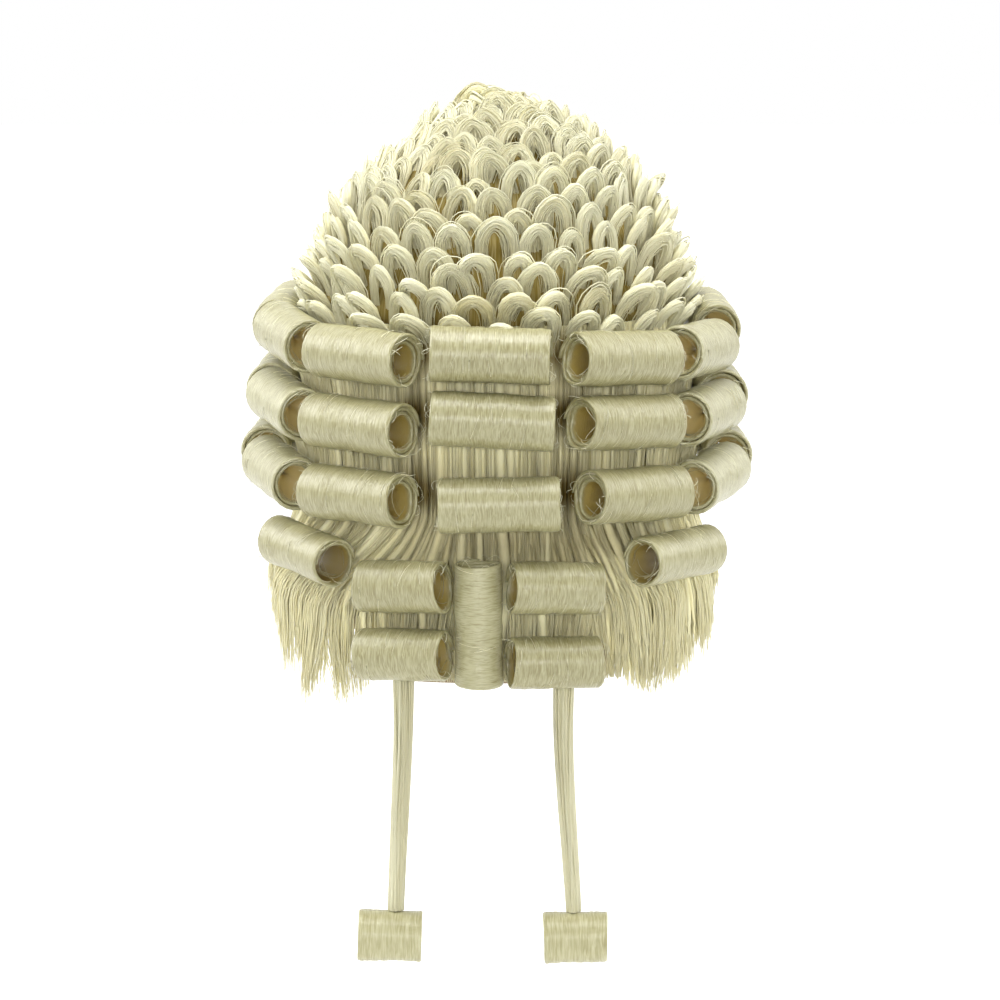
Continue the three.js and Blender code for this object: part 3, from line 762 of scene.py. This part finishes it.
def rolled_sheet(random, length, radius, turns, pinch):
    """Points of a rolled sheet along Z, its outer edge towards -X: the outside, then the inside."""
    axial = 0.5 * np.sin(np.linspace(-0.5, 0.5, ROLL_ROWS) * math.pi)[:, None] * length
    wound = np.linspace(0, turns * 2 * math.pi, round(ROLL_COLUMNS * turns))[None, :]
    relief = np.zeros((ROLL_ROWS, wound.size))
    for wave, height in ROLL_WAVES:
        slant, phase = random.normal(0, 0.25), random.uniform(0, 2 * math.pi)
        swell = 0.6 + 0.4 * np.sin(wound * random.uniform(0.4, 0.9) + phase)
        relief += height * MM * swell * np.sin(axial * 2 * math.pi / (wave * MM) + phase + wound * slant)
    from_end = length / 2 - np.abs(axial)
    near_end = np.clip(1 - from_end / (0.55 * ROLL_WALL), 0, 1)
    rounding = 0.45 * ROLL_WALL * (1 - np.sqrt(1 - near_end**2))
    from_edge = np.minimum(wound, wound[:, ::-1])
    wall = ROLL_WALL * np.clip(0.25 + from_edge / 0.5, 0, 1)
    layers = np.zeros(wound.shape)
    for layer in (1, 2, 3):
        layers += smooth_step((2 * layer - 0.5) * math.pi, 2 * layer * math.pi, wound)
    waist = np.exp(-((axial / (0.22 * length)) ** 2))
    throat = 1 - pinch * waist * smooth_step(2 * math.pi, 2.5 * math.pi, wound)
    tucked = 0.8 * ROLL_LAP * (1 - smooth_step(0, 0.6 * math.pi, wound))
    outside = (radius - ROLL_LAP * layers - tucked) * throat + relief - rounding
    inside = outside - np.minimum(wall - 2 * rounding * wall / ROLL_WALL, 0.5 * outside)
    waver = np.zeros(wound.shape)
    for speed in (0.9, 2.1, 3.7):
        depth = random.normal(0, 0.45 * MM / speed)
        waver += depth * np.sin(wound * speed + random.uniform(0, 6))
    level = axial * (1 - 2 * ROLL_RECESS / length * layers) + waver * (2 * axial / length) ** 5
    angle = wound + math.pi
    sheets = np.array([round_axis(reach, angle, level) for reach in (outside, inside)])
    return sheets, axial, wound


def sheet_faces(columns):
    """Faces of a rolled sheet: its outside, its inside, its two ends and its two edges."""
    count = ROLL_ROWS * columns
    faces = [face[::-1] for face in grid_faces(ROLL_ROWS, columns, False)]
    faces += grid_faces(ROLL_ROWS, columns, False, count)
    for column in range(columns - 1):
        last = (ROLL_ROWS - 1) * columns + column
        faces.append((column + 1, column, count + column, count + column + 1))
        faces.append((last, last + 1, count + last + 1, count + last))
    for row in range(ROLL_ROWS - 1):
        first, last = row * columns, row * columns + columns - 1
        faces.append((first, first + columns, count + first + columns, count + first))
        faces.append((last + columns, last, count + last, count + last + columns))
    return faces


def placed(local, centre, along, away):
    """Turns points in a roll's own directions into the wig's."""
    return centre + local @ np.array([away, np.cross(along, away), along])


def roll_mesh(name, random, length, radius, winding, centre, along, away, finish):
    """A rolled sheet in its place, with painted shade inside it and on its inner turns."""
    turns, pinch, tone = winding
    sheets, axial, wound = rolled_sheet(random, length, radius, turns, pinch)
    mesh = bpy.data.meshes.new(name)
    points = placed(sheets.reshape(-1, 3), centre, along, away)
    mesh.from_pydata(points.tolist(), [], sheet_faces(wound.size))
    mesh.shade_smooth()
    shape = sheets.shape[:3]
    layer = np.broadcast_to(np.array([0.0, 1.0])[:, None, None], shape)
    lines = np.broadcast_to(axial / LINE_SPACING, shape)
    deep = np.clip(wound / (2 * math.pi) - 1, 0, 1)
    set_column(mesh, "tone", np.full(layer.size, random.normal(tone, 0.06)))
    # Painted shade: the inside and the inner turns mix towards the shaded colour, fading out near the
    # ends.
    inward = smooth_step(0.4 * MM, 3.2 * MM, length / 2 - np.abs(axial))
    set_column(mesh, "shade", (np.clip(layer * 0.95 + deep * 0.5, 0, 1) * inward).ravel())
    set_column(mesh, "along", np.broadcast_to(wound * radius / LINE_UNIT, shape).ravel())
    set_column(mesh, "around", np.stack([lines, layer * 5, layer * 0], -1).reshape(-1, 3))
    mesh.materials.append(finish)
    return mesh


def roll_hairs(random, length, radius, centre, along, away):
    """Loose hairs of a roll: some lie across its winding, some spring from its ends, some are inside."""
    share = np.linspace(0, 1, HAIR_POINTS)[None, :]
    rounded = np.sin(math.pi * share)
    each = (HAIRS_OVER, 1)
    angle = random.uniform(0, 2 * math.pi, each) + random.uniform(0.4, 1.3, each) * share
    level = random.uniform(-0.49, 0.49, each) * length + random.normal(0, 1.6 * MM, each) * share
    reach = radius + random.uniform(0.02, 0.2, each) * MM * rounded + 0.1 * MM
    lying = round_axis(reach, angle, level)
    each = (HAIRS_SPRUNG, 1)
    angle = random.uniform(0, 2 * math.pi, each) + random.uniform(-0.9, 0.9, each) * share
    end = np.where(np.arange(HAIRS_SPRUNG) % 2, 0.5, -0.5)[:, None] * length
    spring = random.uniform(0, 4, each) * MM * np.sin(math.pi * share * 0.7)
    reach = radius - 1.2 * MM + random.uniform(-4, 2.4, each) * MM * share**1.5
    sprung = round_axis(reach, angle, end * 0.97 + np.sign(end) * spring)
    each = (HAIRS_WITHIN, 1)
    angle = random.uniform(0, 2 * math.pi, each) + random.uniform(0.6, 2.4, each) * share
    reach = radius - 2.2 * ROLL_WALL - random.uniform(0, 1.8, each) * MM * rounded
    end = np.where(np.arange(HAIRS_WITHIN) % 2, 1, -1)[:, None]
    inset = random.uniform(1, 7, each) * MM
    level = end * (length / 2 - inset + random.normal(0, 1.5, each) * MM * share)
    within = round_axis(reach, angle, level)
    return placed(np.concatenate([lying, sprung, within]), centre, along, away)


random = np.random.default_rng(37)
wound_hairs = []
for name, size, azimuth, drop, tilt in CURLS:
    length, diameter, seat = (value * MM for value in ROLL_SIZES[size][:3])
    reach = hair_out(azimuth, drop * MM) + seat + diameter / 2
    centre, away = on_head(azimuth, run_at_drop(drop * MM), reach)
    level = np.array([-away[1], away[0], 0]) / math.hypot(away[0], away[1])
    turn = math.radians(tilt)
    along = level * math.cos(turn) + np.cross(away, level) * math.sin(turn)
    finish = open_finish if size == "open" else curl_finish
    mesh = roll_mesh(name, random, length, diameter / 2, ROLL_SIZES[size][3:], centre, along, away, finish)
    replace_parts(add_piece(name + "_roll", mesh), name)
    wound_hairs.append(roll_hairs(random, length, diameter / 2, centre, along, away))
wound_hairs = np.concatenate(wound_hairs)
tones = random.uniform(0.5, 1.2, len(wound_hairs))
thickness = np.tile(HAIR_RADII, len(CURLS))[:, None]
shades = np.tile(HAIR_SHADES, len(CURLS))[:, None]
mesh = strand_mesh("curl_hairs", wound_hairs, (0, 0, 1), thickness, tones, shades, 3, 1, loop_finish)
add_piece("curl_hairs", mesh)

# Tails
# Two narrow tails of straight horsehair hang from under the nape, each ending in a small roll
# that the hair of the tail is wound into.
TAILS = {
    "left": (
        (-41, -78.4, -237.7),
        (-41.2, -78.8, -262),
        (-42.2, -78.8, -288),
        (-43.4, -78.4, -314),
        (-44.6, -78, -340),
    ),
    "right": (
        (29, -81.8, -237.7),
        (28.8, -82.2, -262),
        (30, -82.2, -288),
        (31.8, -81.8, -314),
        (33.6, -81.4, -340),
    ),
}
# Tilt of each roll, and its shift along itself in mm
TAIL_ROLLS = {"left": (-2, -2.5), "right": (1, 1)}
TAIL_DIAMETER = 9.4 * MM
TAIL_INTO_ROLL = 1.6 * MM
TAIL_POINTS = 17
TAIL_STRANDS = 70
TAIL_PALE = (0.69, 0.67, 0.465, 1)
TAIL_DEEP = (0.52, 0.475, 0.265, 1)
TAIL_ROLL_PALE = (0.55, 0.53, 0.325, 1)
TAIL_ROLL_DEEP = (0.38, 0.35, 0.175, 1)
tail_finish = hair_finish("tail_horsehair", TAIL_PALE, TAIL_DEEP, GOLD_SHADE, 2, 0.3, 0.5)
tail_roll_finish = hair_finish(
    "tail_roll_horsehair", TAIL_ROLL_PALE, TAIL_ROLL_DEEP, GOLD_SHADE, 4, 0.8, 0.6, 0.6
)


def smooth_route(route, count):
    """A smooth line through a few places, as evenly spaced points."""
    places = np.array(route) * MM
    places = np.concatenate([[2 * places[0] - places[1]], places, [2 * places[-1] - places[-2]]])
    at = np.linspace(0, len(places) - 3 - 1e-9, count)
    first = at.astype(int)
    t = (at - first)[:, None]
    a, b, c, d = (places[first + step] for step in range(4))
    second = 2 * a - 5 * b + 4 * c - d
    third = 3 * b - a - 3 * c + d
    return 0.5 * (2 * b + (c - a) * t + second * t**2 + third * t**3)


random = np.random.default_rng(53)
for side, route in TAILS.items():
    middle = smooth_route(route, TAIL_POINTS)
    share = np.linspace(0, 1, TAIL_POINTS)[None, :]
    half = (TAIL_DIAMETER / 2) * (1.03 - 0.3 * share)
    each = (TAIL_STRANDS, 1)
    reach = np.sqrt(random.uniform(0, 1, each)) * 0.92
    reach[0] = 0
    angle = random.uniform(0, 2 * math.pi, each) + random.normal(0, 0.6, each) * share
    paths = middle[None] + round_axis(reach * half, angle, 0)
    paths[:, -1, 2] -= TAIL_INTO_ROLL
    tones = random.uniform(0.5, 1, TAIL_STRANDS)
    thickness = np.tile(random.uniform(0.4, 0.75, each) * MM, TAIL_POINTS)
    thickness[0] = half[0] * 0.95
    mesh = strand_mesh(f"tail_{side}", paths, (0, -1, 0), thickness, tones, 0, 5, 0.9, tail_finish)
    tail = add_piece(f"tail_{side}_strands", mesh)
    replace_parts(tail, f"tail_{side}")
    length, diameter, seat = (value * MM for value in ROLL_SIZES["tail"][:3])
    tilt, shift = TAIL_ROLLS[side]
    along = np.array([math.cos(math.radians(tilt)), 0, math.sin(math.radians(tilt))])
    away = np.cross(along, (0, -1, 0))
    centre = middle[-1] - np.array([0, 0, seat + diameter / 2]) + along * shift * MM
    winding = ROLL_SIZES["tail"][3:]
    mesh = roll_mesh(
        f"tail_curl_{side}", random, length, diameter / 2, winding, centre, along, away, tail_roll_finish
    )
    roll = add_piece(f"tail_curl_{side}_roll", mesh)
    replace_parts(roll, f"tail_curl_{side}")

# Floor, light and camera
# A pale floor before a white backdrop; the floor glows towards the back, which is painted light.
# Soft light comes from above and both sides, and a low strip of light at the height of the camera
# reaches in between the rows of curls.
FLOOR_DROP = 440 * MM
FLOOR_SIZE = 40
corners = ((-1, -1), (1, -1), (1, 1), (-1, 1))
floor_mesh = bpy.data.meshes.new("floor")
floor_points = [(x * FLOOR_SIZE, y * FLOOR_SIZE, -FLOOR_DROP) for x, y in corners]
floor_mesh.from_pydata(floor_points, [], [(0, 1, 2, 3)])
floor = bpy.data.objects.new("floor", floor_mesh)
bpy.context.scene.collection.objects.link(floor)
floor_finish = bpy.data.materials.new("glowing_floor")
floor_finish.use_nodes = True
nodes, links = floor_finish.node_tree.nodes, floor_finish.node_tree.links
surface = nodes["Principled BSDF"]
surface.inputs["Base Color"].default_value = (0.6, 0.6, 0.6, 1)
surface.inputs["Roughness"].default_value = 0.9
surface.inputs["Specular IOR Level"].default_value = 0
surface.inputs["Emission Color"].default_value = (1, 1, 1, 1)
# Painted light: the floor glows, rising from nothing on the camera's side to 0.75 behind the wig, so that
# far off it is as white as the backdrop.
place = nodes.new("ShaderNodeTexCoord")
distance = nodes.new("ShaderNodeSeparateXYZ")
links.new(place.outputs["Object"], distance.inputs["Vector"])
glow = nodes.new("ShaderNodeMapRange")
glow.interpolation_type = "SMOOTHSTEP"
glow.inputs["From Min"].default_value = -0.5
glow.inputs["From Max"].default_value = 0.4
glow.inputs["To Min"].default_value = 0
glow.inputs["To Max"].default_value = 0.75
links.new(distance.outputs["Y"], glow.inputs["Value"])
links.new(glow.outputs["Result"], surface.inputs["Emission Strength"])
floor_mesh.materials.append(floor_finish)

world = bpy.data.worlds.new("studio")
world.use_nodes = True
nodes, links = world.node_tree.nodes, world.node_tree.links
looking = nodes.new("ShaderNodeTexCoord")
split = nodes.new("ShaderNodeSeparateXYZ")
links.new(looking.outputs["Generated"], split.inputs["Vector"])
brightness = nodes.new("ShaderNodeMapRange")
brightness.inputs["From Min"].default_value = -0.6
brightness.inputs["From Max"].default_value = 0.6
brightness.inputs["To Min"].default_value = 0.4
brightness.inputs["To Max"].default_value = 1.0
links.new(split.outputs["Y"], brightness.inputs["Value"])
links.new(brightness.outputs["Result"], nodes["Background"].inputs["Strength"])
nodes["Background"].inputs["Color"].default_value = (1, 1, 1, 1)
bpy.context.scene.world = world

AIM = Vector((1.4 * MM, 0, -167.4 * MM))
for name, place, width, height, power in (
    ("light_left", (-1.3, 0.3, 0.5), 0.9, 0.9, 15),
    ("light_right", (1.3, 0.3, 0.5), 0.9, 0.9, 9),
    ("light_top", (0, -0.4, 1.3), 1.0, 1.0, 21),
    ("light_front", (0.1, -2.0, 0.05), 1.4, 0.25, 16),
):
    lamp = bpy.data.lights.new(name, "AREA")
    lamp.shape = "RECTANGLE"
    lamp.size = width
    lamp.size_y = height
    lamp.energy = power
    light = bpy.data.objects.new(name, lamp)
    light.location = place
    light.rotation_euler = (AIM - Vector(place)).to_track_quat("-Z", "Y").to_euler()
    bpy.context.scene.collection.objects.link(light)

VIEW_ELEVATION = math.radians(5.5)
VIEW_DISTANCE = 2.0
VIEW_WIDTH = 0.455
lens = bpy.data.cameras.new("camera")
lens.sensor_fit = "HORIZONTAL"
lens.angle = 2 * math.atan(VIEW_WIDTH / 2 / VIEW_DISTANCE)
camera = bpy.data.objects.new("camera", lens)
towards_viewer = Vector((0, -math.cos(VIEW_ELEVATION), math.sin(VIEW_ELEVATION)))
camera.location = AIM + VIEW_DISTANCE * towards_viewer
camera.rotation_euler = (math.pi / 2 - VIEW_ELEVATION, 0, 0)
bpy.context.scene.collection.objects.link(camera)
bpy.context.scene.camera = camera
bpy.context.scene.view_settings.view_transform = "Standard"
